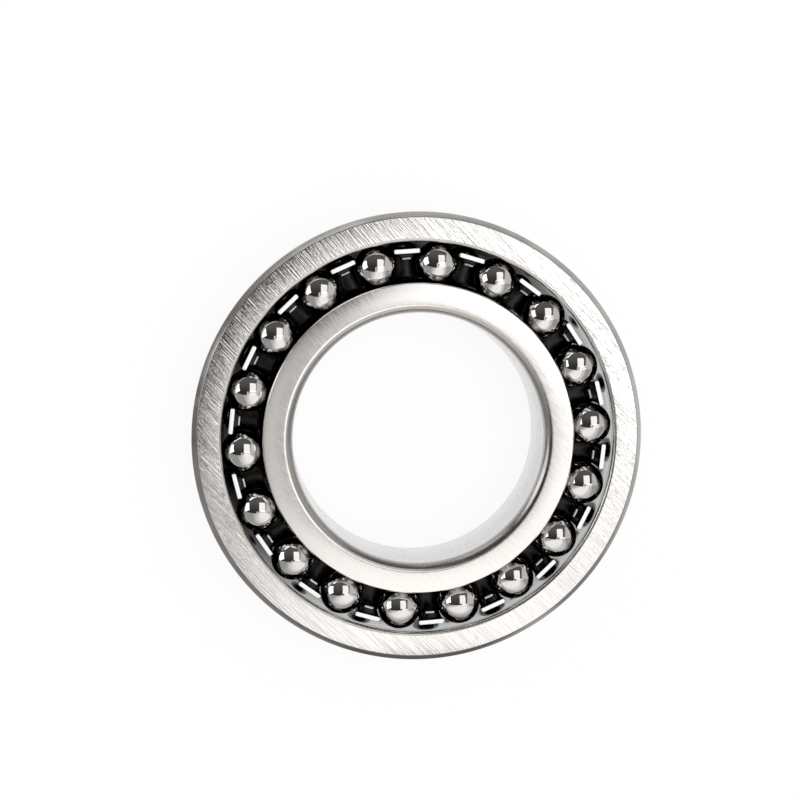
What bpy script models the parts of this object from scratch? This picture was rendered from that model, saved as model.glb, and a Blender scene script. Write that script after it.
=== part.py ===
"""Self-aligning ball bearing with two rows of balls and a pressed steel cage.

The bearing lies on its side face: its axis is +Z, the lower side faces are at
z = 0, and the centre that every part turns about is half the width above it.
The raceway of the outer ring is one sphere about that centre, so the inner
ring, the cage and the balls can swivel in it together.

Run with: blender --background --python part.py
"""

import math

import bmesh
import bpy

# Driving dimensions, in metres
BORE_DIAMETER = 0.070
WIDTH = 0.024
BALL_DIAMETER = 0.01190625
BALLS_PER_ROW = 18
FIRST_BALL_ANGLE = math.radians(4.4)

# Rings
INNER_WALL = 0.0076          # bore to the bottom of a ball groove
OUTER_WALL = 0.0070263       # raceway to outer diameter, at mid width
SHOULDER_HEIGHT = 0.0006     # groove bottom to the outer shoulders
LAND_HEIGHT = 0.0014         # groove bottom to the land between the rows
BORE_CORNER = 0.0019
OUTER_CORNER = 0.0015
SHOULDER_CORNER = 0.0004
LIP_WIDTH = 0.0008           # radial size of the bevel at the raceway's edge
LIP_DEPTH = 0.0016           # axial size of the same bevel

# Clearances
RUNNING_GAP = 0.0003         # ball to raceway
ROW_GAP = 0.0001             # axial gap between the two rows of balls
WEB_GAP = 0.0004             # ball to the cage's web
POCKET_GAP = 0.0004          # ball to the side of a cage tab
CAGE_GAP = 0.00182           # cage tab to the spherical raceway
LAND_GAP = 0.0006            # cage's inner edge to the land of the inner ring
TAB_SETBACK = 0.0011         # cage tab's end to the side face

# Cage, pressed from one sheet
SHEET = 0.0012
BEND_RADIUS = 0.0018         # middle of the sheet
TAB_SLOT = 0.0014            # between one tab and the next, at the bend
TAB_FLARE = 0.0005           # each side, at the tab's end, past the widest part of the balls
BEAD_WIDTH = 0.0038
BEAD_DEPTH = 0.0016
BEAD_LENGTH = 0.0056
BEAD_RAMP = 0.0012           # run-out at each end of the bead

# Facets
RING_SEGMENTS = 60
RACEWAY_STEPS = 6
GROOVE_STEPS = 5
CORNER_STEPS = 3
BEND_STEPS = 2
BALL_SEGMENTS = 12
BALL_RINGS = 6

# Sizes that follow from the ones above
HALF_WIDTH = WIDTH / 2
BALL_RADIUS = BALL_DIAMETER / 2
ROW_OFFSET = BALL_RADIUS + ROW_GAP / 2
GROOVE_RADIUS = BALL_RADIUS + RUNNING_GAP
GROOVE_BOTTOM = BORE_DIAMETER / 2 + INNER_WALL
PITCH_RADIUS = GROOVE_BOTTOM + GROOVE_RADIUS
CONTACT_ANGLE = math.atan2(ROW_OFFSET, PITCH_RADIUS)
RACEWAY_RADIUS = math.hypot(PITCH_RADIUS, ROW_OFFSET) + GROOVE_RADIUS
OUTER_RADIUS = RACEWAY_RADIUS + OUTER_WALL
BALL_PITCH = 2 * math.pi / BALLS_PER_ROW
TAB_PITCH = BALL_PITCH / 2


def clear_scene():
    """Remove whatever the file holds, so that only the bearing is left."""
    for item in list(bpy.data.objects):
        bpy.data.objects.remove(item, do_unlink=True)


def make_material(name, colour, metallic, roughness):
    """Return a Principled material with one colour, metallic value and roughness."""
    material = bpy.data.materials.new(name)
    material.use_nodes = True
    shader = material.node_tree.nodes["Principled BSDF"]
    shader.inputs["Base Color"].default_value = (*colour, 1.0)
    shader.inputs["Metallic"].default_value = metallic
    shader.inputs["Roughness"].default_value = roughness
    material.diffuse_color = (*colour, 1.0)
    return material


def add_object(name, mesh, material, parent):
    """Link a mesh as a named object under the bearing's centre."""
    if not mesh.materials:
        mesh.materials.append(material)
    part = bpy.data.objects.new(name, mesh)
    part.parent = parent
    bpy.context.scene.collection.objects.link(part)
    return part


def arc(centre, radius, start, end, steps):
    """Return points (r, z) on an arc from one angle to another, ends included."""
    points = []
    for step in range(steps + 1):
        angle = start + (end - start) * step / steps
        points.append((centre[0] + radius * math.cos(angle), centre[1] + radius * math.sin(angle)))
    return points


def mirrored(points):
    """Return a half profile followed by its mirror image below mid width."""
    return points + [(r, -z) for r, z in reversed(points)]


def turned_mesh(name, profile, sharp_angle):
    """Turn a closed (r, z) profile about the axis and return the mesh."""
    form = bmesh.new()
    corners = [form.verts.new((r, 0.0, z)) for r, z in profile]
    edges = []
    for index, corner in enumerate(corners):
        edges.append(form.edges.new((corner, corners[(index + 1) % len(corners)])))
    bmesh.ops.spin(
        form,
        geom=corners + edges,
        cent=(0, 0, 0),
        axis=(0, 0, 1),
        angle=2 * math.pi,
        steps=RING_SEGMENTS,
        use_merge=True,
    )
    bmesh.ops.recalc_face_normals(form, faces=form.faces)
    mesh = bpy.data.meshes.new(name)
    form.to_mesh(mesh)
    form.free()
    mesh.shade_smooth()
    mesh.set_sharp_from_angle(angle=sharp_angle)
    return mesh


def outer_ring_profile():
    """Section of the outer ring: spherical raceway, bevelled lips, rounded rim."""
    lip_angle = math.asin((HALF_WIDTH - LIP_DEPTH) / RACEWAY_RADIUS)
    raceway = arc((0.0, 0.0), RACEWAY_RADIUS, -lip_angle, lip_angle, RACEWAY_STEPS)
    lip_radius = RACEWAY_RADIUS * math.cos(lip_angle) + LIP_WIDTH
    corner_centre = (OUTER_RADIUS - OUTER_CORNER, HALF_WIDTH - OUTER_CORNER)
    corner = arc(corner_centre, OUTER_CORNER, math.pi / 2, 0.0, CORNER_STEPS)
    return raceway + mirrored([(lip_radius, HALF_WIDTH)] + corner)


def inner_ring_profile():
    """Section of the inner ring: rounded bore edges, two ball grooves, a land between them."""
    shoulder = GROOVE_BOTTOM + SHOULDER_HEIGHT
    land = GROOVE_BOTTOM + LAND_HEIGHT
    corner_centre = (BORE_DIAMETER / 2 + BORE_CORNER, HALF_WIDTH - BORE_CORNER)
    bore_corner = arc(corner_centre, BORE_CORNER, math.pi, math.pi / 2, CORNER_STEPS)
    shoulder_corner = [
        (shoulder - SHOULDER_CORNER, HALF_WIDTH),
        (shoulder, HALF_WIDTH - SHOULDER_CORNER),
    ]
    start = math.pi - math.acos((PITCH_RADIUS - shoulder) / GROOVE_RADIUS)
    end = math.pi + math.acos((PITCH_RADIUS - land) / GROOVE_RADIUS)
    groove = arc((PITCH_RADIUS, ROW_OFFSET), GROOVE_RADIUS, start, end, GROOVE_STEPS)
    return mirrored(bore_corner + shoulder_corner + groove)


def tab_half_width(tab_radius):
    """Half the width of a cage tab: clear of the balls beside it and of the next tab."""
    inner_face = tab_radius - SHEET / 2
    off_pitch = inner_face - PITCH_RADIUS
    half_chord = math.sqrt(BALL_RADIUS**2 - off_pitch**2)
    beside_ball = inner_face * math.tan(TAB_PITCH) - half_chord - POCKET_GAP
    beside_tab = (tab_radius - BEND_RADIUS) * math.tan(TAB_PITCH / 2) - TAB_SLOT / 2
    return min(beside_ball, beside_tab)


def cage_tab_radius():
    """Radius at the middle of a tab's sheet, so that its outer corners clear the raceway."""
    corner = math.sqrt((RACEWAY_RADIUS - CAGE_GAP) ** 2 - (HALF_WIDTH - TAB_SETBACK) ** 2)
    half_end = tab_half_width(corner - SHEET / 2) + TAB_FLARE
    return math.sqrt(corner**2 - half_end**2) - SHEET / 2


def cage_tab_rows(side, tab_radius, columns, root_angles):
    """Rows of points over the middle of the sheet, from the web's inner edge to a tab's end.

    Each row lists (radial, tangential, height) in the tab's own frame. The web is
    a wave that leans away from the ball behind it. The tab bends through a right
    angle to its side of the bearing, and a bead is pressed into its middle.
    """
    root_radius = tab_radius - BEND_RADIUS
    wave = WEB_GAP + SHEET / 2 - ROW_GAP / 2
    heights = [side * wave * math.cos(BALLS_PER_ROW * angle) for angle in root_angles]
    web_radius = GROOVE_BOTTOM + LAND_HEIGHT + LAND_GAP
    inner_edge = []
    for angle, height in zip(root_angles, heights):
        inner_edge.append((web_radius * math.cos(angle), web_radius * math.sin(angle), height))
    rows = [inner_edge]
    for step in range(BEND_STEPS + 1):
        turn = math.pi / 2 * step / BEND_STEPS
        radial = root_radius + BEND_RADIUS * math.sin(turn)
        lift = side * BEND_RADIUS * (1 - math.cos(turn))
        rows.append([(radial, x, height + lift) for x, height in zip(columns, heights)])
    tab_end = HALF_WIDTH - TAB_SETBACK
    straight = tab_end - wave - BEND_RADIUS
    bead_length = min(BEAD_LENGTH, straight - BEAD_RAMP)
    stations = [
        (BEAD_RAMP, BEAD_DEPTH, 0.0),
        (bead_length - BEAD_RAMP, BEAD_DEPTH, 0.0),
        (bead_length, 0.0, 0.0),
        (straight, 0.0, TAB_FLARE),
    ]
    for distance, depth, flare in stations:
        share = distance / straight
        row = []
        for x, height in zip(columns, heights):
            bend_end = height + side * BEND_RADIUS
            radial = tab_radius - (depth if x == 0.0 else 0.0)
            widened = x * (1 + flare / columns[-1])
            row.append((radial, widened, bend_end + share * (side * tab_end - bend_end)))
        rows.append(row)
    return rows


def cage_mesh():
    """Middle surface of the cage: a waved web with tabs bent to one side and the other in turn."""
    tab_radius = cage_tab_radius()
    half_width = tab_half_width(tab_radius)
    bead = BEAD_WIDTH / 2
    columns = [-half_width, -bead, 0.0, bead, half_width]
    root_angles = [math.atan2(x, tab_radius - BEND_RADIUS) for x in columns]
    form = bmesh.new()
    tabs = []
    for index in range(2 * BALLS_PER_ROW):
        side = 1 if index % 2 else -1
        turn = FIRST_BALL_ANGLE + index * TAB_PITCH
        grid = []
        for row in cage_tab_rows(side, tab_radius, columns, root_angles):
            line = []
            for radial, across, height in row:
                x = radial * math.cos(turn) - across * math.sin(turn)
                y = radial * math.sin(turn) + across * math.cos(turn)
                line.append(form.verts.new((x, y, height)))
            grid.append(line)
        tabs.append(grid)
    for index, grid in enumerate(tabs):
        for lower, upper in zip(grid, grid[1:]):
            for column in range(len(columns) - 1):
                form.faces.new((lower[column], upper[column], upper[column + 1], lower[column + 1]))
        following = tabs[(index + 1) % len(tabs)]
        form.faces.new((grid[0][-1], grid[1][-1], following[1][0], following[0][0]))
    bmesh.ops.recalc_face_normals(form, faces=form.faces)
    mesh = bpy.data.meshes.new("cage")
    form.to_mesh(mesh)
    form.free()
    mesh.shade_smooth()
    return mesh


def build_cage(material, parent):
    """Add the cage and give its sheet an even thickness."""
    cage = add_object("cage", cage_mesh(), material, parent)
    sheet = cage.modifiers.new("sheet", "SOLIDIFY")
    sheet.thickness = SHEET
    sheet.offset = 0.0
    sheet.use_even_offset = True
    sheet.use_quality_normals = True
    return cage


def ball_mesh():
    """One ball, with its poles on its own spin axis."""
    form = bmesh.new()
    bmesh.ops.create_uvsphere(
        form, u_segments=BALL_SEGMENTS, v_segments=BALL_RINGS, radius=BALL_RADIUS
    )
    mesh = bpy.data.meshes.new("ball")
    form.to_mesh(mesh)
    form.free()
    mesh.shade_smooth()
    return mesh


def build_balls(material, parent):
    """Add both rows. Each ball's axis is square to its line of contact with the rings."""
    mesh = ball_mesh()
    rows = (("front", 1, 0.0), ("rear", -1, TAB_PITCH))
    for row, side, stagger in rows:
        for index in range(BALLS_PER_ROW):
            turn = FIRST_BALL_ANGLE + stagger + index * BALL_PITCH
            ball = add_object(f"ball_{row}_{index + 1:02d}", mesh, material, parent)
            ball.location = (
                PITCH_RADIUS * math.cos(turn),
                PITCH_RADIUS * math.sin(turn),
                side * ROW_OFFSET,
            )
            ball.rotation_euler = (0.0, -side * CONTACT_ANGLE, turn)


def build_bearing():
    """Build every piece about one empty at the bearing's centre."""
    centre = bpy.data.objects.new("bearing_centre", None)
    centre.location = (0.0, 0.0, HALF_WIDTH)
    bpy.context.scene.collection.objects.link(centre)
    ring_steel = make_material("ground_ring_steel", (0.62, 0.60, 0.58), 1.0, 0.32)
    ball_steel = make_material("polished_ball_steel", (0.70, 0.69, 0.68), 1.0, 0.06)
    cage_steel = make_material("pressed_cage_steel", (0.22, 0.21, 0.20), 1.0, 0.22)
    sharp_angle = math.radians(35)
    outer = turned_mesh("outer_ring", outer_ring_profile(), sharp_angle)
    inner = turned_mesh("inner_ring", inner_ring_profile(), sharp_angle)
    add_object("outer_ring", outer, ring_steel, centre)
    add_object("inner_ring", inner, ring_steel, centre)
    build_cage(cage_steel, centre)
    build_balls(ball_steel, centre)


clear_scene()
build_bearing()
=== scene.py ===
"""Looks of an open self-aligning ball bearing, lying on its side face in a plain studio.

The turned rings, the pressed cage and the polished balls are rebuilt here as fine
surfaces at the frame's own sizes, each with its finish, and stand for the plain solids.
"""

from __future__ import annotations

import logging
import math
from dataclasses import dataclass
from enum import Enum

import bpy
import numpy as np
from bpy.types import Material, Mesh, Node, NodeTree, Object
from bpy.types import NodeSocket as Socket
from bpy.types import bpy_prop_collection as Sockets
from mathutils import Matrix, Vector

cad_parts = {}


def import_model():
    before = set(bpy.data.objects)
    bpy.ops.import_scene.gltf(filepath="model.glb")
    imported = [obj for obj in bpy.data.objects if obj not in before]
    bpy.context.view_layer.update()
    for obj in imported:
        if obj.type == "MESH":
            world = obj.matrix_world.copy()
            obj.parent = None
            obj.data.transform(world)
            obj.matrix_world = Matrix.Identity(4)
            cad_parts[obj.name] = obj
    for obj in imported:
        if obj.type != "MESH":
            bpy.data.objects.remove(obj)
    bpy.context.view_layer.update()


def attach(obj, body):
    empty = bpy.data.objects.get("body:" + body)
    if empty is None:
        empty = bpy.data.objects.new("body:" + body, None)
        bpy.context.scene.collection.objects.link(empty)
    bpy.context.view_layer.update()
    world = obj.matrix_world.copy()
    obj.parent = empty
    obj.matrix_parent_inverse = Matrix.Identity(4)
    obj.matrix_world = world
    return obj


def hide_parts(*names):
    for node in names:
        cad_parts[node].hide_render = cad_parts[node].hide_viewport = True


LOG = logging.getLogger("bearing")
MM = 0.001


class Row(Enum):
    """The two rows of balls: the side of mid width on which each lies."""

    FRONT = 1
    REAR = -1


class RingSurface(Enum):
    """The kinds of surface on a turned ring, in the order of its material slots."""

    FACE = 0
    CORNER = 1
    RACEWAY = 2
    CYLINDER = 3
    LIP = 4


@dataclass(frozen=True)
class BearingSizes:
    """Sizes shared by the sub-assemblies, in metres and radians. They repeat the solids' own."""

    bore: float = 70.0 * MM
    width: float = 24.0 * MM
    ball: float = 11.90625 * MM
    balls_per_row: int = 18
    first_ball: float = math.radians(4.4)
    inner_wall: float = 7.6 * MM
    outer_wall: float = 7.0263 * MM
    shoulder_height: float = 0.6 * MM
    land_height: float = 1.4 * MM
    running_gap: float = 0.3 * MM
    row_gap: float = 0.1 * MM

    @property
    def half_width(self) -> float:
        """Half the width of the bearing."""
        return self.width / 2

    @property
    def row_offset(self) -> float:
        """Distance of a row of balls from mid width."""
        return (self.ball + self.row_gap) / 2

    @property
    def groove_radius(self) -> float:
        """Radius of the section of a ball groove."""
        return self.ball / 2 + self.running_gap

    @property
    def groove_bottom(self) -> float:
        """Radius of the inner ring at the bottom of its grooves."""
        return self.bore / 2 + self.inner_wall

    @property
    def pitch_radius(self) -> float:
        """Radius of the circle on which the balls' centres lie."""
        return self.groove_bottom + self.groove_radius

    @property
    def contact_angle(self) -> float:
        """Angle of the line from the bearing's centre to a ball's centre."""
        return math.atan2(self.row_offset, self.pitch_radius)

    @property
    def raceway_radius(self) -> float:
        """Radius of the spherical raceway."""
        return math.hypot(self.pitch_radius, self.row_offset) + self.groove_radius

    @property
    def outer_radius(self) -> float:
        """Radius of the outer ring's rim."""
        return self.raceway_radius + self.outer_wall

    @property
    def ball_pitch(self) -> float:
        """Angle from one ball of a row to the next."""
        return 2 * math.pi / self.balls_per_row


# Mesh helpers


def mesh_from_faces(name: str, points: np.ndarray, quads: np.ndarray) -> Mesh:
    """Make a smooth mesh from point and quad arrays; a quad that repeats a corner is a triangle.

    Args:
        name: Name of the mesh.
        points: Array of shape (n, 3).
        quads: Array of shape (m, 4) of indices into points.

    Returns:
        The new mesh.
    """
    triangles = quads[:, 2] == quads[:, 3]
    sizes = np.where(triangles, 3, 4)
    keep = np.ones(quads.shape, bool)
    keep[:, 3] = ~triangles
    mesh = bpy.data.meshes.new(name)
    mesh.vertices.add(len(points))
    mesh.vertices.foreach_set("co", points.astype(np.float32).ravel())
    mesh.loops.add(int(sizes.sum()))
    mesh.loops.foreach_set("vertex_index", quads[keep].astype(np.int32))
    mesh.polygons.add(len(quads))
    starts = np.concatenate([[0], np.cumsum(sizes)[:-1]])
    mesh.polygons.foreach_set("loop_start", starts.astype(np.int32))
    mesh.update(calc_edges=True)
    mesh.validate()
    mesh.shade_smooth()
    return mesh


def add_piece(name: str, mesh: Mesh) -> Object:
    """Link a mesh to the scene as an object at the origin."""
    piece = bpy.data.objects.new(name, mesh)
    bpy.context.scene.collection.objects.link(piece)
    return piece


def arc(centre: tuple[float, float], radius: float, start: float, end: float, steps: int) -> np.ndarray:
    """Points (r, z) on an arc: centre plus radius times (cos, sin) of an even run of angles."""
    angle = np.linspace(start, end, steps + 1)
    return np.stack([centre[0] + radius * np.cos(angle), centre[1] + radius * np.sin(angle)], 1)


def eased_corners(corners: np.ndarray, radius: float, steps: int) -> np.ndarray:
    """Round each inner corner of a polyline with a quadratic curve.

    Each corner point P between A and B becomes the curve
    (1-t)^2 (P + r a) + 2t(1-t) P + t^2 (P + r b), with a and b the unit
    directions to A and B, so the rounding starts r before the corner.

    Args:
        corners: Array of shape (n, 2), the first and last points are kept.
        radius: Distance r from the corner at which the rounding starts.
        steps: Number of stretches in each rounding.

    Returns:
        The rounded polyline, of shape (2 + (n - 2) * (steps + 1), 2).
    """
    share = np.linspace(0, 1, steps + 1)[:, None]
    points = [corners[:1]]
    for before, corner, after in zip(corners, corners[1:], corners[2:]):
        back = (before - corner) / np.linalg.norm(before - corner)
        ahead = (after - corner) / np.linalg.norm(after - corner)
        start, end = corner + radius * back, corner + radius * ahead
        points.append((1 - share) ** 2 * start + 2 * share * (1 - share) * corner + share**2 * end)
    points.append(corners[-1:])
    return np.concatenate(points)


def smooth(share: np.ndarray) -> np.ndarray:
    """A smooth step from 0 to 1: 3 t^2 - 2 t^3."""
    return share * share * (3 - 2 * share)


class TurnedSection:
    """A closed (r, z) section, drawn in stretches that each have one kind of surface."""

    def __init__(self) -> None:
        """Start with nothing drawn."""
        self.points: list[np.ndarray] = []
        self.surfaces: list[np.ndarray] = []

    def add(self, points: np.ndarray, surface: RingSurface, joint: RingSurface) -> None:
        """Draw a stretch of one surface; the step that joins it to the next one has the joint's."""
        self.points.append(points)
        self.surfaces.append(np.full(len(points), surface.value))
        self.surfaces[-1][-1] = joint.value

    def turned(self, name: str, segments: int, mid: float) -> Mesh:
        """Turn the section about the axis: point (r, z) at angle a goes to (r cos a, r sin a, z + mid).

        Args:
            name: Name of the mesh.
            segments: Number of steps around the axis.
            mid: Height of mid width.

        Returns:
            A closed mesh whose faces carry their surface as material index.
        """
        section = np.concatenate(self.points)
        surface = np.concatenate(self.surfaces)
        count = len(section)
        angle = np.linspace(0, 2 * math.pi, segments, endpoint=False)[:, None]
        radius, height = section[None, :, 0], section[None, :, 1] + mid
        grid = np.stack([radius * np.cos(angle), radius * np.sin(angle), height + 0 * angle], 2)
        around, along = np.meshgrid(np.arange(segments), np.arange(count), indexing="ij")
        next_around, next_along = (around + 1) % segments, (along + 1) % count
        corners = [
            around * count + along,
            around * count + next_along,
            next_around * count + next_along,
            next_around * count + along,
        ]
        quads = np.stack(corners, 2).reshape(-1, 4)
        area = np.sum(section[:, 0] * np.roll(section[:, 1], -1) - np.roll(section[:, 0], -1) * section[:, 1])
        if area > 0:
            quads = quads[:, ::-1]
        mesh = mesh_from_faces(name, grid.reshape(-1, 3), quads)
        mesh.polygons.foreach_set("material_index", np.tile(surface, segments).astype(np.int32))
        return mesh


# Shader helpers


class Nodes:
    """A short way to add nodes to one tree and to link them."""

    def __init__(self, tree: NodeTree) -> None:
        """Work in one node tree."""
        self.tree = tree

    def feed(self, node: Node, inputs: dict) -> None:
        """Set or link inputs of a node: socket name or index to a value or to an output socket."""
        for key, value in inputs.items():
            if isinstance(value, Socket):
                self.tree.links.new(value, node.inputs[key])
            else:
                node.inputs[key].default_value = value

    def add(self, kind: str, inputs: dict | None = None, **settings) -> Node:
        """Add a node, set its properties, and set or link its inputs.

        Args:
            kind: The node's type name.
            inputs: Socket name or index to a value or to an output socket.
            **settings: Properties of the node.

        Returns:
            The new node.
        """
        node = self.tree.nodes.new(kind)
        for name, value in settings.items():
            setattr(node, name, value)
        self.feed(node, inputs or {})
        return node

    def group(self, tree: NodeTree, inputs: dict) -> Sockets:
        """Add a shared node group with its inputs, and return its outputs."""
        return self.add("ShaderNodeGroup", inputs, node_tree=tree).outputs

    def place(self) -> Socket:
        """Add the object's own coordinates."""
        return self.add("ShaderNodeTexCoord").outputs["Object"]

    def axes(self, place: Socket) -> Sockets:
        """Split a vector, and return its X, Y and Z."""
        return self.add("ShaderNodeSeparateXYZ", {0: place}).outputs

    def joined(self, axes: dict) -> Socket:
        """Make a vector from some of X, Y and Z."""
        return self.add("ShaderNodeCombineXYZ", axes).outputs[0]

    def math(self, operation: str, *values) -> Socket:
        """Add a Math node on values or sockets, and return its output."""
        return self.add("ShaderNodeMath", dict(enumerate(values)), operation=operation).outputs[0]

    def times(self, first, *others) -> Socket:
        """Multiply values or sockets with each other."""
        for value in others:
            first = self.math("MULTIPLY", first, value)
        return first

    def vector(self, operation: str, *values, **scale) -> Socket:
        """Add a Vector Math node; returns its vector, or its value for a length or a dot product."""
        node = self.add("ShaderNodeVectorMath", dict(enumerate(values)) | scale, operation=operation)
        return node.outputs["Value" if operation in ("LENGTH", "DOT_PRODUCT") else "Vector"]

    def noise(self, place, scale, detail: float, roughness: float = 0.5) -> Sockets:
        """Add a noise texture, and return its outputs."""
        inputs = {"Vector": place, "Scale": scale, "Detail": detail, "Roughness": roughness}
        return self.add("ShaderNodeTexNoise", inputs).outputs

    def bump(self, height: Socket, depth: float) -> Socket:
        """Add a bump whose full height is depth, and return its normal."""
        return self.add("ShaderNodeBump", {"Height": height, "Distance": depth, "Strength": 1.0}).outputs[0]

    def remap(self, value, low: float, high: float, to_low: float = 0.0, to_high: float = 1.0) -> Socket:
        """Map a value smoothly from one range to another, clamped at both ends."""
        inputs = {"Value": value, "From Min": low, "From Max": high, "To Min": to_low, "To Max": to_high}
        return self.add("ShaderNodeMapRange", inputs, interpolation_type="SMOOTHSTEP").outputs["Result"]

    def mix(self, share, first, second) -> Socket:
        """Mix two colours by a share."""
        return self.add("ShaderNodeMix", {0: share, 6: first, 7: second}, data_type="RGBA").outputs[2]


def new_group(name: str, inputs: dict[str, float | None], outputs: list[str]) -> tuple:
    """Make a shader node group with named sockets.

    Args:
        name: Name of the group.
        inputs: Socket name to default value; None makes a vector socket.
        outputs: Names of the value sockets it puts out.

    Returns:
        The Nodes helper of the group's tree, what the group is given, and its output node.
    """
    tree = bpy.data.node_groups.new(name, "ShaderNodeTree")
    for socket, value in inputs.items():
        kind = "NodeSocketVector" if value is None else "NodeSocketFloat"
        made = tree.interface.new_socket(socket, in_out="INPUT", socket_type=kind)
        if value is not None:
            made.default_value = value
    for socket in outputs:
        tree.interface.new_socket(socket, in_out="OUTPUT", socket_type="NodeSocketFloat")
    nodes = Nodes(tree)
    return nodes, nodes.add("NodeGroupInput").outputs, nodes.add("NodeGroupOutput")


class SharedEffects:
    """The node groups that several finishes use."""

    def __init__(self, sizes: BearingSizes) -> None:
        """Build each group once."""
        self.scratches = self.build_scratches()
        self.tab_place = self.build_tab_place(sizes)
        self.turning = self.build_turning()
        self.smudges = self.build_smudges()

    @staticmethod
    def build_scratches() -> NodeTree:
        """Straight scratches that run one way, each of a limited length, in loose bundles.

        The flat point is bent a little by a broad noise, turned by Angle, and divided by
        Length along the scratches and by Spacing across them. A noise taken there is
        stretched about its middle, and fades where a broader one of the same shape is low.
        """
        sockets = {"Vector": None, "Angle": 0.0, "Spacing": 0.3 * MM, "Length": 9 * MM, "Seed": 0.0}
        nodes, given, out = new_group("scratches", sockets, ["Marks"])
        broad = nodes.noise(given["Vector"], 30.0, 1.0)["Color"]
        most_bend, contrast = 1 * MM, 1.6
        bend = nodes.vector("SCALE", nodes.vector("SUBTRACT", broad, (0.5, 0.5, 0.5)), Scale=most_bend)
        inputs = {"Vector": nodes.vector("ADD", given["Vector"], bend), "Angle": given["Angle"]}
        turned = nodes.add("ShaderNodeVectorRotate", inputs, rotation_type="Z_AXIS").outputs[0]
        axes = nodes.axes(turned)
        along = nodes.math("DIVIDE", axes["X"], given["Length"])
        across = nodes.math("DIVIDE", axes["Y"], given["Spacing"])
        place = nodes.joined({"X": along, "Y": across, "Z": given["Seed"]})
        fine = nodes.noise(place, 1.0, 1.5, 0.6)["Fac"]
        fade = nodes.remap(nodes.noise(place, 0.23, 0.0)["Fac"], 0.36, 0.60, 0.5, 1.0)
        swing = nodes.times(nodes.math("SUBTRACT", fine, 0.5), fade)
        nodes.feed(out, {"Marks": nodes.math("ADD", nodes.times(swing, contrast), 0.5)})
        return nodes.tree

    @staticmethod
    def build_tab_place(sizes: BearingSizes) -> NodeTree:
        """Where a point lies on the nearest tab of the cage, seen along the axis.

        The angle round the axis, less the first tab's, is wrapped to half a step either
        side of the nearest tab. Radial and Across are the radius times its cosine and its
        sine, and Height is the distance from mid width.
        """
        nodes, given, out = new_group("tab_place", {"Vector": None}, ["Radial", "Across", "Height"])
        axes = nodes.axes(given["Vector"])
        radius = nodes.vector("LENGTH", nodes.vector("MULTIPLY", given["Vector"], (1.0, 1.0, 0.0)))
        angle = nodes.math("SUBTRACT", nodes.math("ARCTAN2", axes["Y"], axes["X"]), sizes.first_ball)
        half_step = sizes.ball_pitch / 4
        off = nodes.math("WRAP", angle, half_step, -half_step)
        radial = nodes.times(radius, nodes.math("COSINE", off))
        across = nodes.times(radius, nodes.math("SINE", off))
        height = nodes.math("ABSOLUTE", nodes.math("SUBTRACT", axes["Z"], sizes.half_width))
        nodes.feed(out, {"Radial": radial, "Across": across, "Height": height})
        return nodes.tree

    @staticmethod
    def build_turning() -> NodeTree:
        """Fine lines that run round the axis: a noise squeezed along (r, z) and slow round the ring."""
        nodes, given, out = new_group("turned_lines", {"Vector": None, "Spacing": 0.2 * MM}, ["Marks"])
        flat = nodes.vector("MULTIPLY", given["Vector"], (1.0, 1.0, 0.0))
        radius = nodes.vector("LENGTH", flat)
        length_share = 0.02
        slow = nodes.times(length_share, radius)
        around = nodes.vector("SCALE", nodes.vector("NORMALIZE", flat), Scale=slow)
        across = nodes.math("ADD", nodes.axes(given["Vector"])["Z"], radius)
        place = nodes.vector("ADD", around, nodes.joined({"Z": across}))
        marks = nodes.noise(place, nodes.math("DIVIDE", 1.0, given["Spacing"]), 2.0, 0.6)["Fac"]
        nodes.feed(out, {"Marks": marks})
        return nodes.tree

    @staticmethod
    def build_smudges() -> NodeTree:
        """Cloudy variation, as of handling and oil film: a broad noise brought to Low and High."""
        sockets = {"Vector": None, "Size": 4 * MM, "Low": 0.0, "High": 1.0}
        nodes, given, out = new_group("smudges", sockets, ["Value"])
        broad = nodes.noise(given["Vector"], nodes.math("DIVIDE", 1.0, given["Size"]), 4.0)["Fac"]
        inputs = {"Value": broad, "From Min": 0.35, "From Max": 0.65}
        inputs |= {"To Min": given["Low"], "To Max": given["High"]}
        nodes.feed(out, {"Value": nodes.add("ShaderNodeMapRange", inputs).outputs["Result"]})
        return nodes.tree


def grey(value: float, warmth: float = 0.0) -> tuple[float, float, float, float]:
    """A grey of one linear value, a little warmer (red up, blue down) by a share."""
    return (value * (1 + warmth), value, value * (1 - warmth), 1.0)


@dataclass(frozen=True)
class Finish:
    """A metal finish: its name, and the dark and the light shade that its marks run between."""

    name: str
    dark: float
    light: float
    warmth: float

    def material(self, effects: SharedEffects) -> Material:
        """Build the finish.

        Args:
            effects: The shared node groups.

        Returns:
            The new material.
        """
        material = bpy.data.materials.new(self.name)
        material.use_nodes = True
        nodes = Nodes(material.node_tree)
        shader = material.node_tree.nodes["Principled BSDF"]
        nodes.feed(shader, {"Metallic": 1.0} | self.shading(nodes, nodes.place(), effects))
        return material

    def shading(self, nodes: Nodes, place: Socket, effects: SharedEffects) -> dict:
        """What the shader's inputs are fed with, by name.

        Args:
            nodes: The helper of the material's tree.
            place: The object's own coordinates.
            effects: The shared node groups.

        Returns:
            Input name to value or socket.
        """
        raise NotImplementedError

    def shade(self, nodes: Nodes, share: Socket) -> Socket:
        """The dark shade mixed with the light one by a share."""
        return nodes.mix(share, grey(self.dark, self.warmth), grey(self.light, self.warmth))


@dataclass(frozen=True)
class Scratches:
    """One direction of scratches on a ground face: its angle in degrees and its share of the depth."""

    angle: float
    share: float


GRINDING = (
    Scratches(45.0, 1.0),
    Scratches(53.0, 0.6),
    Scratches(36.0, 0.5),
    Scratches(101.0, 0.09),
    Scratches(-4.0, 0.09),
)


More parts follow.
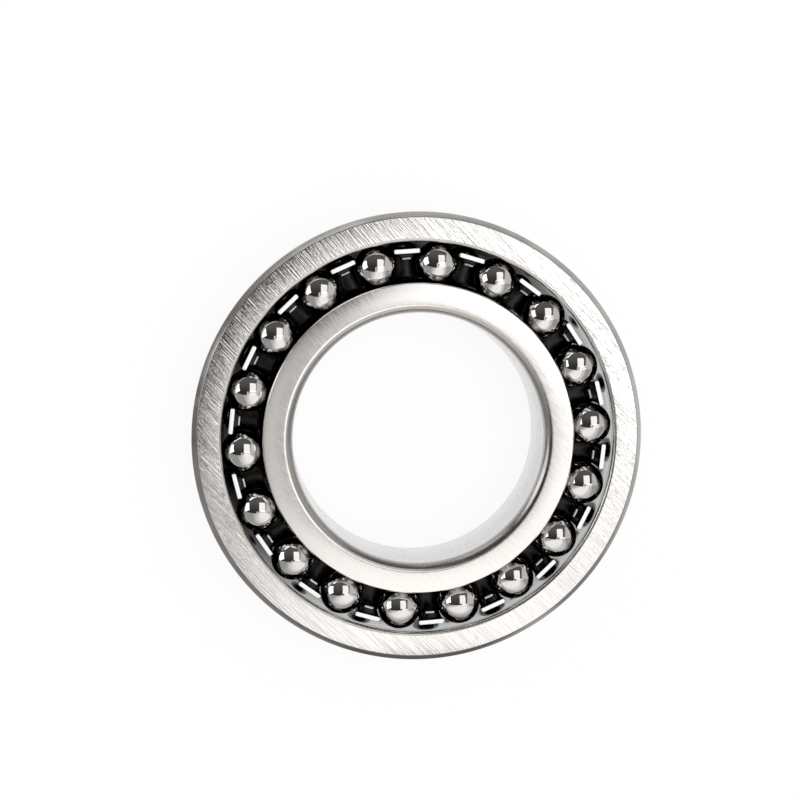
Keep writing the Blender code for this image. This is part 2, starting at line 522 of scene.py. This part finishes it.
@dataclass(frozen=True)
class GroundFace(Finish):
    """A side face, ground flat: fine scratches, most of them one way, with others across them."""

    smooth_roughness: float
    rough_roughness: float
    spacing: float
    length: float
    depth: float
    marks_low: float = 0.42
    marks_high: float = 0.58
    rough_high: float = 0.60
    spacing_step: float = 0.2
    seed_step: float = 3.7

    def shading(self, nodes: Nodes, place: Socket, effects: SharedEffects) -> dict:
        """The scratches of all directions, added by their shares, drive colour, gloss and bump."""
        total = sum(family.share for family in GRINDING)
        marks = None
        for number, family in enumerate(GRINDING):
            inputs = {
                "Vector": place,
                "Angle": math.radians(family.angle),
                "Spacing": self.spacing * (1 + self.spacing_step * (number % 3)),
                "Length": self.length,
                "Seed": self.seed_step * number,
            }
            lines = nodes.group(effects.scratches, inputs)["Marks"]
            part = nodes.times(lines, family.share / total)
            marks = part if marks is None else nodes.math("ADD", marks, part)
        limits = (self.marks_low, self.rough_high, self.smooth_roughness, self.rough_roughness)
        return {
            "Base Color": self.shade(nodes, nodes.remap(marks, self.marks_low, self.marks_high)),
            "Roughness": nodes.remap(marks, *limits),
            "Normal": nodes.bump(marks, self.depth),
        }


@dataclass(frozen=True)
class TurnedSteel(Finish):
    """A round surface with fine lines that run round the axis: corners, rims, bores, raceways."""

    roughness: float
    spacing: float
    depth: float
    marks_low: float = 0.3
    marks_high: float = 0.7
    gloss_swing: float = 0.15

    def shading(self, nodes: Nodes, place: Socket, effects: SharedEffects) -> dict:
        """The turned lines drive colour and bump, and smudges drive the gloss."""
        marks = nodes.group(effects.turning, {"Vector": place, "Spacing": self.spacing})["Marks"]
        low, high = self.roughness * (1 - self.gloss_swing), self.roughness * (1 + self.gloss_swing)
        gloss = {"Vector": place, "Low": low, "High": high}
        return {
            "Base Color": self.shade(nodes, nodes.remap(marks, self.marks_low, self.marks_high)),
            "Roughness": nodes.group(effects.smudges, gloss)["Value"],
            "Normal": nodes.bump(marks, self.depth),
        }


@dataclass(frozen=True)
class SmoothSteel(Finish):
    """A polished surface with only a cloudy change of shade and gloss."""

    roughness_low: float
    roughness_high: float
    cloud: float

    def shading(self, nodes: Nodes, place: Socket, effects: SharedEffects) -> dict:
        """Smudges drive colour and gloss."""
        cloud = nodes.group(effects.smudges, {"Vector": place, "Size": self.cloud})["Value"]
        rough = nodes.remap(cloud, 0.0, 1.0, self.roughness_low, self.roughness_high)
        return {"Base Color": self.shade(nodes, cloud), "Roughness": rough}


@dataclass(frozen=True)
class BrightBar:
    """A straight bright mark with round ends on every tab, a painted highlight, over bare sheared metal at
    the tab's end: where it lies, and its half sizes.
    """

    radial: float
    half_length: float
    half_width: float
    lowest: float
    highest: float


@dataclass(frozen=True)
class PressedSheet(Finish):
    """The cage's dark sheet, with painted highlights on its tabs: at each sheared end, over bare metal, and
    on each drawn lug.
    """

    roughness: float
    cloud: float
    bars: tuple[BrightBar, ...]
    bright: float = 0.86
    bright_metallic: float = 0.30
    bright_roughness: float = 0.50
    softness: float = 0.09 * MM
    gloss_swing: float = 0.2

    def shading(self, nodes: Nodes, place: Socket, effects: SharedEffects) -> dict:
        """Smudges drive the sheet's colour and gloss, and the bars' masks lay painted highlights of bright
        metal over it.
        """
        cloud = nodes.group(effects.smudges, {"Vector": place, "Size": self.cloud})["Value"]
        tab = nodes.group(effects.tab_place, {"Vector": place})
        # The bars are painted highlights; the one at a tab's end also stands for its bare sheared metal.
        masks = [self.mask(nodes, tab, bar) for bar in self.bars]
        bare_and_highlight = masks[0]
        for mask in masks[1:]:
            bare_and_highlight = nodes.math("MAXIMUM", bare_and_highlight, mask)
        low, high = self.roughness * (1 - self.gloss_swing), self.roughness * (1 + self.gloss_swing)
        sheet_rough = nodes.remap(cloud, 0.0, 1.0, low, high)
        inputs = {"Value": bare_and_highlight, "To Min": sheet_rough, "To Max": self.bright_roughness}
        return {
            "Base Color": nodes.mix(bare_and_highlight, self.shade(nodes, cloud), grey(self.bright)),
            "Roughness": nodes.add("ShaderNodeMapRange", inputs).outputs["Result"],
            "Metallic": nodes.remap(bare_and_highlight, 0.0, 1.0, 1.0, self.bright_metallic),
        }

    def mask(self, nodes: Nodes, tab: Sockets, bar: BrightBar) -> Socket:
        """One inside a bar and none outside: the distance to its middle line against its half width."""
        straight = bar.half_length - bar.half_width
        past_end = nodes.math("SUBTRACT", nodes.math("ABSOLUTE", tab["Across"]), straight)
        past_end = nodes.math("MAXIMUM", past_end, 0.0)
        beside = nodes.math("SUBTRACT", tab["Radial"], bar.radial)
        distance = nodes.vector("LENGTH", nodes.joined({"X": past_end, "Y": beside}))
        near, far = bar.half_width - self.softness / 2, bar.half_width + self.softness / 2
        inside = nodes.remap(distance, near, far, 1.0, 0.0)
        above = nodes.math("GREATER_THAN", tab["Height"], bar.lowest)
        below = nodes.math("LESS_THAN", tab["Height"], bar.highest)
        return nodes.times(inside, above, below)


class Finishes:
    """Every finish on the bearing, built once."""

    def __init__(self, sizes: BearingSizes) -> None:
        """Build the node groups and the materials."""
        effects = SharedEffects(sizes)
        long_cut, short_cut = (0.42 * MM, 60 * MM, 0.18 * MM), (0.30 * MM, 4 * MM, 0.0)
        outer_face = GroundFace("ground_outer_face", 0.76, 0.96, 0.015, 0.09, 0.17, *long_cut)
        inner_face = GroundFace("ground_inner_face", 0.84, 0.91, 0.025, 0.17, 0.22, *short_cut)
        corner = TurnedSteel("turned_corner", 0.38, 0.48, 0.035, 0.24, 0.3 * MM, 0.002 * MM)
        # The raceways' steel is kept dark, a painted shade for the dim space between rings, balls and cage.
        raceway = TurnedSteel("honed_raceway_painted_shade", 0.28, 0.32, -0.02, 0.07, 0.12 * MM, 0.0006 * MM)
        cylinder = TurnedSteel("ground_cylinder", 0.70, 0.80, 0.0, 0.25, 0.12 * MM, 0.004 * MM)
        lip = TurnedSteel("turned_lip", 0.52, 0.64, 0.05, 0.26, 0.25 * MM, 0.003 * MM)
        edge = TurnedSteel("turned_edge", 0.80, 0.90, 0.02, 0.18, 0.25 * MM, 0.002 * MM)
        outer = [outer_face, corner, raceway, cylinder, lip]
        inner = [inner_face, corner, raceway, cylinder, edge]
        built = {finish.name: finish.material(effects) for finish in dict.fromkeys(outer + inner)}
        self.outer_ring = [built[finish.name] for finish in outer]
        self.inner_ring = [built[finish.name] for finish in inner]
        # Painted highlights: one on each tab's sheared end, over its bare metal, and one on each lug's ramp.
        bars = (
            BrightBar(51.82 * MM, 3.65 * MM, 0.56 * MM, 10.7 * MM, 12.0 * MM),
            BrightBar(49.80 * MM, 1.25 * MM, 0.20 * MM, 7.2 * MM, 8.6 * MM),
        )
        self.cage = PressedSheet("pressed_sheet", 0.018, 0.032, 0.04, 0.26, 1.5 * MM, bars).material(effects)
        self.ball = SmoothSteel("polished_ball", 0.70, 0.74, 0.01, 0.025, 0.05, 3 * MM).material(effects)


# The bearing's sub-assemblies


@dataclass
class OuterRing:
    """The outer ring: spherical raceway, curved lips beside it, ground faces, chamfered rim."""

    sizes: BearingSizes
    rim_corner: float = 1.5 * MM
    rim_ease: float = 0.15 * MM
    lip_radius: float = 55.29 * MM
    lip_depth: float = 1.0 * MM
    segments: int = 360

    def section(self) -> TurnedSection:
        """Draw the ring's section, up its raceway and back down its rim.

        The lip between raceway and face is a quarter ellipse: r = lip - w sin t and
        z = half - d (1 - cos t), with w its width, d its depth, and t from a right
        angle at the raceway to 0 at the face.
        """
        size = self.sizes
        half = size.half_width
        end = math.asin((half - self.lip_depth) / size.raceway_radius)
        width = self.lip_radius - size.raceway_radius * math.cos(end)
        turn = np.linspace(math.pi / 2, 0, 13)
        radius = self.lip_radius - width * np.sin(turn)
        lip = np.stack([radius, half - self.lip_depth * (1 - np.cos(turn))], 1)
        rim, cut = size.outer_radius, self.rim_corner
        corner = [[self.lip_radius, half], [rim - cut, half], [rim, half - cut], [rim, 0]]
        corner = eased_corners(np.array(corner), self.rim_ease, 5)[1:-1]
        mirror = np.array([1, -1])
        section = TurnedSection()
        raceway = arc((0, 0), size.raceway_radius, -end, end, 40)
        section.add(raceway, RingSurface.RACEWAY, RingSurface.RACEWAY)
        section.add(lip[1:], RingSurface.LIP, RingSurface.FACE)
        section.add(corner, RingSurface.CORNER, RingSurface.CYLINDER)
        section.add(corner[::-1] * mirror, RingSurface.CORNER, RingSurface.FACE)
        section.add(lip[1:][::-1] * mirror, RingSurface.LIP, RingSurface.LIP)
        return section

    def build(self, finishes: Finishes) -> Object:
        """Build the ring, dress it and let it stand for its node."""
        mesh = self.section().turned("outer_ring_turned", self.segments, self.sizes.half_width)
        return dress(mesh, finishes.outer_ring, "outer_ring")


@dataclass
class InnerRing:
    """The inner ring: eased bore edges, ground faces, two ball grooves, a land between them."""

    sizes: BearingSizes
    bore_corner: float = 1.6 * MM
    bore_ease: float = 0.9 * MM
    shoulder_corner: float = 0.32 * MM
    shoulder_ease: float = 0.08 * MM
    segments: int = 300

    def half_section(self) -> list[tuple[np.ndarray, RingSurface]]:
        """The upper half of the section, from the bore over the face to the land."""
        size = self.sizes
        half = size.half_width
        shoulder = size.groove_bottom + size.shoulder_height
        land = size.groove_bottom + size.land_height
        bore = size.bore / 2
        corner = [[bore, 0], [bore, half - self.bore_corner], [bore + self.bore_corner, half], [land, half]]
        cut = self.shoulder_corner
        edge = [[bore, half], [shoulder - cut, half], [shoulder, half - cut], [shoulder, 0]]
        start = math.pi - math.acos((size.pitch_radius - shoulder) / size.groove_radius)
        end = math.pi + math.acos((size.pitch_radius - land) / size.groove_radius)
        centre = (size.pitch_radius, size.row_offset)
        return [
            (eased_corners(np.array(corner), self.bore_ease, 6)[1:-1], RingSurface.CORNER),
            (eased_corners(np.array(edge), self.shoulder_ease, 4)[1:-1], RingSurface.LIP),
            (arc(centre, size.groove_radius, start, end, 22), RingSurface.RACEWAY),
        ]

    def section(self) -> TurnedSection:
        """Draw the whole section: the upper half, then its mirror image.

        The joints are the bore, the side face, the shoulder's edge to the groove, and the
        land. The flattest steps of the bore's eased corner belong to the side face.
        """
        upper = self.half_section()
        joints = (RingSurface.CYLINDER, RingSurface.FACE, RingSurface.CYLINDER, RingSurface.CYLINDER)
        section = TurnedSection()
        for (points, surface), joint in zip(upper, joints[1:]):
            section.add(points, surface, joint)
        for (points, surface), joint in zip(upper[::-1], joints[2::-1]):
            section.add(points[::-1] * np.array([1, -1]), surface, joint)
        section.surfaces[0][-3:] = RingSurface.FACE.value
        section.surfaces[-1][:2] = RingSurface.FACE.value
        return section

    def build(self, finishes: Finishes) -> Object:
        """Build the ring, dress it and let it stand for its node."""
        mesh = self.section().turned("inner_ring_turned", self.segments, self.sizes.half_width)
        return dress(mesh, finishes.inner_ring, "inner_ring")


@dataclass
class Cage:
    """The cage, pressed from one sheet: a waved web with tabs bent to either side in turn."""

    sizes: BearingSizes
    sheet: float = 1.2 * MM
    bend_radius: float = 1.8 * MM
    web_gap: float = 0.4 * MM
    pocket_gap: float = 0.4 * MM
    cage_gap: float = 1.82 * MM
    land_gap: float = 0.6 * MM
    edge_ease: float = 0.18 * MM
    tab_setback: float = 1.1 * MM
    tab_slot: float = 1.4 * MM
    tab_flare: float = 0.5 * MM
    tab_corner: float = 0.5 * MM
    bead_half: float = 1.9 * MM
    bead_flat: float = 1.1 * MM
    bead_depth: float = 1.6 * MM
    bead_length: float = 5.6 * MM
    bead_ramp: float = 1.2 * MM
    lug_ramp: float = 0.8 * MM
    across: int = 20
    web_rows: int = 8
    bend_rows: int = 7
    ramp_rows: int = 5

    def half_tab(self, tab_radius: float) -> float:
        """Half the width of a tab: clear of the balls beside it and of the next tab."""
        size = self.sizes
        inner_face = tab_radius - self.sheet / 2
        chord = math.sqrt((size.ball / 2) ** 2 - (inner_face - size.pitch_radius) ** 2)
        beside_ball = inner_face * math.tan(size.ball_pitch / 2) - chord - self.pocket_gap
        beside_tab = (tab_radius - self.bend_radius) * math.tan(size.ball_pitch / 4) - self.tab_slot / 2
        return min(beside_ball, beside_tab)

    def tab_radius(self) -> float:
        """Radius at the middle of a tab's sheet, with its outer corners clear of the raceway."""
        size = self.sizes
        reach = size.half_width - self.tab_setback
        corner = math.sqrt((size.raceway_radius - self.cage_gap) ** 2 - reach**2)
        half_end = self.half_tab(corner - self.sheet / 2) + self.tab_flare
        return math.sqrt(corner**2 - half_end**2) - self.sheet / 2

    def tab_run(self, straight: float) -> np.ndarray:
        """Distances from the bend at which a tab has its rows, denser on the ramps and at the end."""
        stretches = [
            np.linspace(0, self.bead_ramp, self.ramp_rows + 1)[1:],
            np.linspace(self.bead_ramp, self.bead_length - self.lug_ramp, 5)[1:],
            np.linspace(self.bead_length - self.lug_ramp, self.bead_length, self.ramp_rows + 1)[1:],
            np.linspace(self.bead_length, straight - self.tab_corner, 4)[1:],
            straight - self.tab_corner * np.cos(np.linspace(0, math.pi / 2, 6))[1:],
        ]
        return np.concatenate(stretches)

    def sheet_points(self, side: int) -> np.ndarray:
        """Middle of the sheet over one tab and the web below it, as rows of (radial, across, height).

        The web's height is side times w cos(n a), with n balls in a row and a the angle
        from the tab. The bend adds R sin b outwards and R (1 - cos b) to its side, for b
        from 0 to a right angle. The tab runs straight on and levels out at its end. The
        bead pulls it inwards by its depth times three smooth steps: one down each side,
        one up from the root and a steep one down at its upper end. Past the bead the tab
        widens by a smooth step, and its corners are rounded along a quarter circle.

        Args:
            side: 1 for a tab bent up, -1 for a tab bent down.

        Returns:
            Array of shape (rows, columns, 3).
        """
        size = self.sizes
        tab_radius = self.tab_radius()
        half = self.half_tab(tab_radius)
        root = tab_radius - self.bend_radius
        across = np.linspace(-half, half, self.across + 1)
        angle = np.arctan2(across, root)
        wave = self.web_gap + self.sheet / 2 - size.row_gap / 2
        height = side * wave * np.cos(size.balls_per_row * angle)
        inner = size.groove_bottom + size.land_height + self.land_gap
        share = np.linspace(0, 1, self.web_rows + 1)[:-1, None]
        radial = (1 - share) * inner * np.cos(angle) + share * root
        sideways = (1 - share) * inner * np.sin(angle) + share * across
        web = np.stack([radial, sideways, height + 0 * share], 2)
        bend = np.linspace(0, math.pi / 2, self.bend_rows + 1)[:, None]
        radial = root + self.bend_radius * np.sin(bend) + 0 * across
        lift = side * self.bend_radius * (1 - np.cos(bend))
        turned = np.stack([radial, across + 0 * bend, height + lift], 2)
        reach = size.half_width - self.tab_setback
        run = self.tab_run(reach - wave - self.bend_radius)[:, None]
        start = height + side * self.bend_radius
        level = start + run / run[-1] * (side * reach - start)
        side_slope = np.clip((self.bead_half - np.abs(across)) / (self.bead_half - self.bead_flat), 0, 1)
        rise = np.clip(run / self.bead_ramp, 0, 1)
        fall = np.clip((self.bead_length - run) / self.lug_ramp, 0, 1)
        bump = smooth(side_slope) * smooth(rise) * smooth(fall)
        flare = np.clip((run - self.bead_length) / (run[-1] - self.bead_length), 0, 1)
        corner = np.clip((run - run[-1] + self.tab_corner) / self.tab_corner, 0, 1)
        change = self.tab_flare * smooth(flare) - self.tab_corner * (1 - np.sqrt(1 - corner**2))
        tab = np.stack([tab_radius - self.bead_depth * bump, across * (1 + change / half), level], 2)
        return np.concatenate([web, turned, tab])

    def mesh(self) -> Mesh:
        """Set the tabs round the axis and join the web between each and the next."""
        size = self.sizes
        count = 2 * size.balls_per_row
        index = np.arange(count)
        tabs = np.stack([self.sheet_points(1 if number % 2 else -1) for number in index])
        turn = (size.first_ball + index * size.ball_pitch / 2)[:, None, None]
        x = tabs[..., 0] * np.cos(turn) - tabs[..., 1] * np.sin(turn)
        y = tabs[..., 0] * np.sin(turn) + tabs[..., 1] * np.cos(turn)
        points = np.stack([x, y, tabs[..., 2] + size.half_width], 3)
        rows, columns = points.shape[1:3]
        tab, row, column = np.meshgrid(index, np.arange(rows), np.arange(columns), indexing="ij")
        number = (tab * rows + row) * columns + column
        cells = [number[:, :-1, :-1], number[:, 1:, :-1], number[:, 1:, 1:], number[:, :-1, 1:]]
        quads = np.stack(cells, 3).reshape(-1, 4)
        web = self.web_rows
        left, right = number[:, : web + 1, -1], np.roll(number, -1, 0)[:, : web + 1, 0]
        joints = np.stack([left[:, :-1], left[:, 1:], right[:, 1:], right[:, :-1]], 2).reshape(-1, 4)
        return mesh_from_faces("cage_pressed", points.reshape(-1, 3), np.concatenate([quads, joints]))

    def build(self, finishes: Finishes) -> Object:
        """Build the cage, give the sheet its thickness and eased edges, and dress it."""
        piece = dress(self.mesh(), [finishes.cage], "cage")
        solid = piece.modifiers.new("sheet", "SOLIDIFY")
        solid.thickness = self.sheet
        solid.offset = 0.0
        solid.use_even_offset = True
        solid.use_quality_normals = True
        bevel = piece.modifiers.new("eased_edges", "BEVEL")
        bevel.width = self.edge_ease
        bevel.segments = 2
        bevel.limit_method = "ANGLE"
        bevel.angle_limit = math.radians(50)
        bevel.harden_normals = False
        return piece


@dataclass
class BallSet:
    """Both rows of balls, each ball a piece of its own on its own body."""

    sizes: BearingSizes
    around: int = 56
    rings: int = 28

    def unit_ball(self) -> tuple[np.ndarray, np.ndarray]:
        """A unit sphere: (sin p cos a, sin p sin a, cos p) over a grid, with one point at each pole.

        Returns:
            The points and the quads; the quads at the poles repeat a corner.
        """
        polar = np.linspace(0, math.pi, self.rings + 1)[1:-1, None]
        angle = np.linspace(0, 2 * math.pi, self.around, endpoint=False)[None]
        ring = [np.sin(polar) * np.cos(angle), np.sin(polar) * np.sin(angle), np.cos(polar) + 0 * angle]
        grid = np.stack(ring, 2).reshape(-1, 3)
        points = np.concatenate([grid, [[0, 0, 1]], [[0, 0, -1]]])
        row, column = np.meshgrid(np.arange(self.rings - 2), np.arange(self.around), indexing="ij")
        after = (column + 1) % self.around
        upper, under = row * self.around, (row + 1) * self.around
        body = np.stack([upper + column, under + column, under + after, upper + after], 2).reshape(-1, 4)
        first = np.arange(self.around)
        second = (first + 1) % self.around
        top = len(grid)
        last = (self.rings - 2) * self.around
        cap = np.stack([np.full_like(first, top), first, second, second], 1)
        base = np.stack([np.full_like(first, top + 1), last + second, last + first, last + first], 1)
        return points, np.concatenate([body, cap, base])

    def build(self, finishes: Finishes) -> None:
        """Set every ball in place, poles on its spin axis, and dress it."""
        size = self.sizes
        points, quads = self.unit_ball()
        for row in Row:
            stagger = 0.0 if row is Row.FRONT else size.ball_pitch / 2
            for index in range(size.balls_per_row):
                turn = size.first_ball + stagger + index * size.ball_pitch
                centre = Vector((size.pitch_radius, 0.0, row.value * size.row_offset))
                lean = Matrix.Rotation(-row.value * size.contact_angle, 3, "Y")
                spin = np.array(Matrix.Rotation(turn, 3, "Z") @ lean)
                place = np.array(Matrix.Rotation(turn, 3, "Z") @ centre) + [0, 0, size.half_width]
                node = f"ball_{row.name.lower()}_{index + 1:02d}"
                shaped = points * size.ball / 2 @ spin.T + place
                mesh = mesh_from_faces(f"{node}_polished", shaped, quads)
                dress(mesh, [finishes.ball], node)


def dress(mesh: Mesh, materials: list[Material], node: str) -> Object:
    """Add a finished piece: its materials, the body it rides on and the node it stands for.

    Args:
        mesh: The piece's mesh, whose name the piece takes.
        materials: Its materials, in the order of the faces' indices.
        node: The node it replaces, and the body of the same name that it rides on.

    Returns:
        The piece.
    """
    piece = add_piece(mesh.name, mesh)
    for material in materials:
        mesh.materials.append(material)
    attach(piece, node)
    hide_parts(node)
    LOG.info("%s: %d faces, rides on %s", piece.name, len(mesh.polygons), node)
    return piece


# The studio


def posed(place: Vector, across: Vector, back: Vector) -> Matrix:
    """The matrix of a lamp or camera at a place, its local X and Z along two unit vectors."""
    return Matrix.Translation(place) @ Matrix((across, back.cross(across), back)).transposed().to_4x4()


@dataclass(frozen=True)
class Softbox:
    """A rectangular light that faces the bearing, with one pair of edges along a given line."""

    name: str
    place: tuple[float, float, float]
    size: tuple[float, float]
    radiance: float
    edge: tuple[float, float, float] = (1.0, 0.0, 0.0)
    mirrored: bool = True

    def build(self) -> None:
        """Hang the light; its local X lies along the edge line and its -Z towards the bearing."""
        light = bpy.data.lights.new(self.name, "AREA")
        light.shape = "RECTANGLE"
        light.size, light.size_y = self.size
        light.energy = self.radiance * math.pi * self.size[0] * self.size[1]
        lamp = bpy.data.objects.new(self.name, light)
        back = Vector(self.place).normalized()
        across = (Vector(self.edge) - back * back.dot(Vector(self.edge))).normalized()
        lamp.matrix_world = posed(self.place, across, back)
        lamp.visible_camera = False
        lamp.visible_glossy = self.mirrored
        bpy.context.scene.collection.objects.link(lamp)


@dataclass(frozen=True)
class Studio:
    """A pale floor, soft lights round the lens, a glowing card below them as a painted reflection of the lit
    tabletop, and the camera.
    """

    camera_place: tuple[float, float, float] = (-0.04076, 0.05332, 0.40402)
    camera_target: tuple[float, float, float] = (-0.00564, 0.0111, 0.024)
    camera_up: tuple[float, float, float] = (0.0, 0.99389, -0.11034)
    focal_length: float = 63.01
    floor_size: float = 1.6
    floor_grey: float = 0.86
    hidden_middle: float = 0.049
    hidden_half: float = 0.0135
    card_drop: float = 0.0645
    card_depth: float = 0.235
    card_half: float = 0.40
    boxes: tuple[Softbox, ...] = (
        Softbox("softbox_right", (0.141, 0.160, 0.40), (0.258, 0.38), 1.16),
        Softbox("softbox_left", (-0.447, 0.104, 0.199), (0.25, 0.30), 1.8),
        Softbox("strip_top_left", (-0.225, 0.43, 0.10), (0.30, 0.07), 1.6, (0.485, 0.253, -0.115)),
        Softbox("strip_top", (0.02, 0.49, 0.08), (0.10, 0.03), 2.0),
        Softbox("fill", (0.10, 0.20, 1.10), (1.3, 1.3), 2.0, mirrored=False),
    )

    def build(self) -> None:
        """Make the floor, the lights, the surroundings and the camera."""
        for box in self.boxes:
            box.build()
        self.build_floor()
        self.build_card()
        self.build_world()
        self.build_camera()
        bpy.context.scene.view_settings.view_transform = "Standard"

    def build_floor(self) -> None:
        """A pale floor that keeps a soft shadow near the bearing and is plain white further out.

        The camera sees it mixed with white, more so with distance. Gloss sees it nearly
        white as well, but dark far to the left. The ring of floor that the bearing covers
        keeps its real shade, seen through the gaps.
        """
        material, nodes, out = self.bare_material("pale_floor")
        place = nodes.place()
        away = nodes.vector("LENGTH", place)
        under = nodes.math("ABSOLUTE", nodes.math("SUBTRACT", away, self.hidden_middle))
        clear = nodes.remap(under, self.hidden_half - 0.002, self.hidden_half)
        far = nodes.remap(away, 0.062, 0.12, 0.90, 1.0)
        ray = nodes.add("ShaderNodeLightPath").outputs
        seen = nodes.times(far, clear, ray["Is Camera Ray"])
        lit = nodes.vector("DOT_PRODUCT", place, (0.707, -0.707, 0.0))
        behind = nodes.math("MAXIMUM", clear, nodes.remap(lit, -0.02, 0.03))
        within = nodes.remap(away, 0.030, 0.0345, 0.5, 0.95)
        mirrored = nodes.times(within, behind, ray["Is Glossy Ray"])
        share = nodes.math("MAXIMUM", seen, mirrored)
        paint = nodes.add("ShaderNodeBsdfDiffuse", {"Color": grey(self.floor_grey)}).outputs[0]
        from_left = nodes.remap(nodes.axes(place)["X"], -0.20, -0.09, 0.12, 1.0)
        tone = nodes.math("MAXIMUM", from_left, ray["Is Camera Ray"])
        white = nodes.add("ShaderNodeEmission", {"Color": grey(1.0), "Strength": tone}).outputs[0]
        mixed = nodes.add("ShaderNodeMixShader", {0: share, 1: paint, 2: white}).outputs[0]
        nodes.feed(out, {"Surface": mixed})
        half = self.floor_size / 2
        corners = [[-half, -half, 0], [half, -half, 0], [half, half, 0], [-half, half, 0]]
        floor = self.plane("floor", corners, material)

    def build_card(self) -> None:
        """A glowing card that only gloss sees, at the -Y side: a painted reflection of the lit tabletop in
        front of the lens.

        It glows brighter along the line towards the large softbox, a painted pool of light: the tone falls
        off to the left with x, to the right with x / (z + 0.05), and downwards with z - 12 x^2. An
        oval place on it is dark, a painted shadow that a rim on the tabletop throws, except
        low down, where the bearing's own rim mirrors it.
        """
        material, nodes, out = self.bare_material("glowing_tabletop_card")
        place = nodes.place()
        axes = nodes.axes(place)
        line = nodes.math("DIVIDE", axes["X"], nodes.math("ADD", axes["Z"], 0.05))
        left_side = nodes.remap(axes["X"], -0.080, -0.004, 0.60, 1.15)
        right_side = nodes.remap(line, 0.66, 0.96, 1.15, 0.62)
        tone = nodes.math("MINIMUM", left_side, right_side)
        bow = nodes.times(nodes.math("POWER", nodes.math("ABSOLUTE", axes["X"]), 2.0), 12.0)
        rise = nodes.math("SUBTRACT", axes["Z"], bow)
        tone = nodes.times(tone, nodes.remap(rise, 0.005, 0.045, 0.64, 1.0))
        oval = nodes.vector("LENGTH", nodes.vector("MULTIPLY", place, (0.4, 0.0, 1.0)))
        contact = nodes.remap(oval, 0.018, 0.045, 0.15, 1.0)
        contact = nodes.math("MAXIMUM", contact, nodes.remap(axes["Z"], 0.019, 0.022, 1.0, 0.0))
        tone = nodes.times(tone, contact)
        glow = nodes.add("ShaderNodeEmission", {"Color": (1.0, 0.975, 0.955, 1.0), "Strength": tone})
        nodes.feed(out, {"Surface": glow.outputs[0]})
        left, right, drop, deep = -self.card_half, self.card_half, -self.card_drop, self.card_depth
        corners = [[left, drop, 0.0], [left, drop, deep], [right, drop, deep], [right, drop, 0.0]]
        card = self.plane("table_card", corners, material)
        card.visible_camera = card.visible_diffuse = card.visible_shadow = False
        card.visible_transmission = card.visible_volume_scatter = False

    @staticmethod
    def plane(name: str, corners: list[list[float]], material: Material) -> Object:
        """Add a flat piece with four corners and one material."""
        piece = add_piece(name, mesh_from_faces(name, np.array(corners), np.array([[0, 1, 2, 3]])))
        piece.data.materials.append(material)
        return piece

    @staticmethod
    def bare_material(name: str) -> tuple[Material, Nodes, Node]:
        """A material with nothing in it but its output: the material, a Nodes helper and the output."""
        material = bpy.data.materials.new(name)
        material.use_nodes = True
        material.node_tree.nodes.clear()
        nodes = Nodes(material.node_tree)
        return material, nodes, nodes.add("ShaderNodeOutputMaterial")

    def build_world(self) -> None:
        """Surroundings that gloss sees, in zones by the direction; plain white for the camera.

        A dark room behind the lens, a patch under the lens, a glare to its right with a
        darker seam through it, a tent round the horizon that is darker at the left, a wall
        at the right, and the tabletop beyond the card low down.
        """
        world = bpy.data.worlds.new("studio")
        bpy.context.scene.world = world
        world.use_nodes = True
        world.node_tree.nodes.clear()
        nodes = Nodes(world.node_tree)
        towards = nodes.add("ShaderNodeTexCoord").outputs["Generated"]
        axes = nodes.axes(towards)
        x, y, z = axes["X"], axes["Y"], axes["Z"]
        room = nodes.mix(nodes.remap(y, -0.1, 0.9), grey(0.035, 0.10), grey(0.11, 0.05))
        under_lens = nodes.remap(y, -0.05, 0.005, 1.0, 0.0)
        near_lens = nodes.remap(x, -0.16, -0.06)
        patch = nodes.mix(nodes.remap(x, -0.03, 0.01), grey(0.80, 0.03), grey(0.42, 0.03))
        room = nodes.mix(nodes.times(under_lens, near_lens), room, patch)
        slant = nodes.vector("DOT_PRODUCT", towards, (1.0, -0.4, 0.0))
        right = nodes.remap(slant, 0.165, 0.245)
        lower = nodes.remap(y, 0.02, 0.07, 1.0, 0.0)
        seam = nodes.math("ABSOLUTE", nodes.math("ADD", y, 0.107))
        glare = nodes.mix(nodes.remap(seam, 0.01, 0.045), grey(0.60), grey(1.30))
        room = nodes.mix(nodes.times(right, lower), room, glare)
        tent = nodes.mix(nodes.remap(x, -0.92, -0.70, 1.0, 0.0), grey(0.55, 0.04), grey(0.22, 0.08))
        room = nodes.mix(nodes.remap(z, 0.02, 0.24, 1.0, 0.0), room, tent)
        room = nodes.mix(nodes.remap(x, 0.60, 0.74), room, grey(0.64, 0.045))
        room = nodes.mix(nodes.remap(y, -0.52, -0.46, 1.0, 0.0), room, grey(0.60, 0.02))
        ray = nodes.add("ShaderNodeLightPath").outputs["Is Camera Ray"]
        back = nodes.add("ShaderNodeBackground", {"Color": nodes.mix(ray, room, grey(1.0)), "Strength": 1.0})
        nodes.add("ShaderNodeOutputWorld", {"Surface": back.outputs[0]})

    def build_camera(self) -> None:
        """Look down on the bearing from the photograph's side of its axis."""
        data = bpy.data.cameras.new("camera")
        data.lens = self.focal_length
        data.clip_start = 0.01
        camera = bpy.data.objects.new("camera", data)
        place = Vector(self.camera_place)
        forward = (Vector(self.camera_target) - place).normalized()
        right = forward.cross(Vector(self.camera_up)).normalized()
        camera.matrix_world = posed(place, right, -forward)
        bpy.context.scene.collection.objects.link(camera)
        bpy.context.scene.camera = camera


def main() -> None:
    """Load the frame, build every piece and the studio."""
    logging.basicConfig(level=logging.INFO, format="%(message)s")
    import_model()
    sizes = BearingSizes()
    finishes = Finishes(sizes)
    OuterRing(sizes).build(finishes)
    InnerRing(sizes).build(finishes)
    Cage(sizes).build(finishes)
    BallSet(sizes).build(finishes)
    Studio().build()


if __name__ == "__main__":
    main()
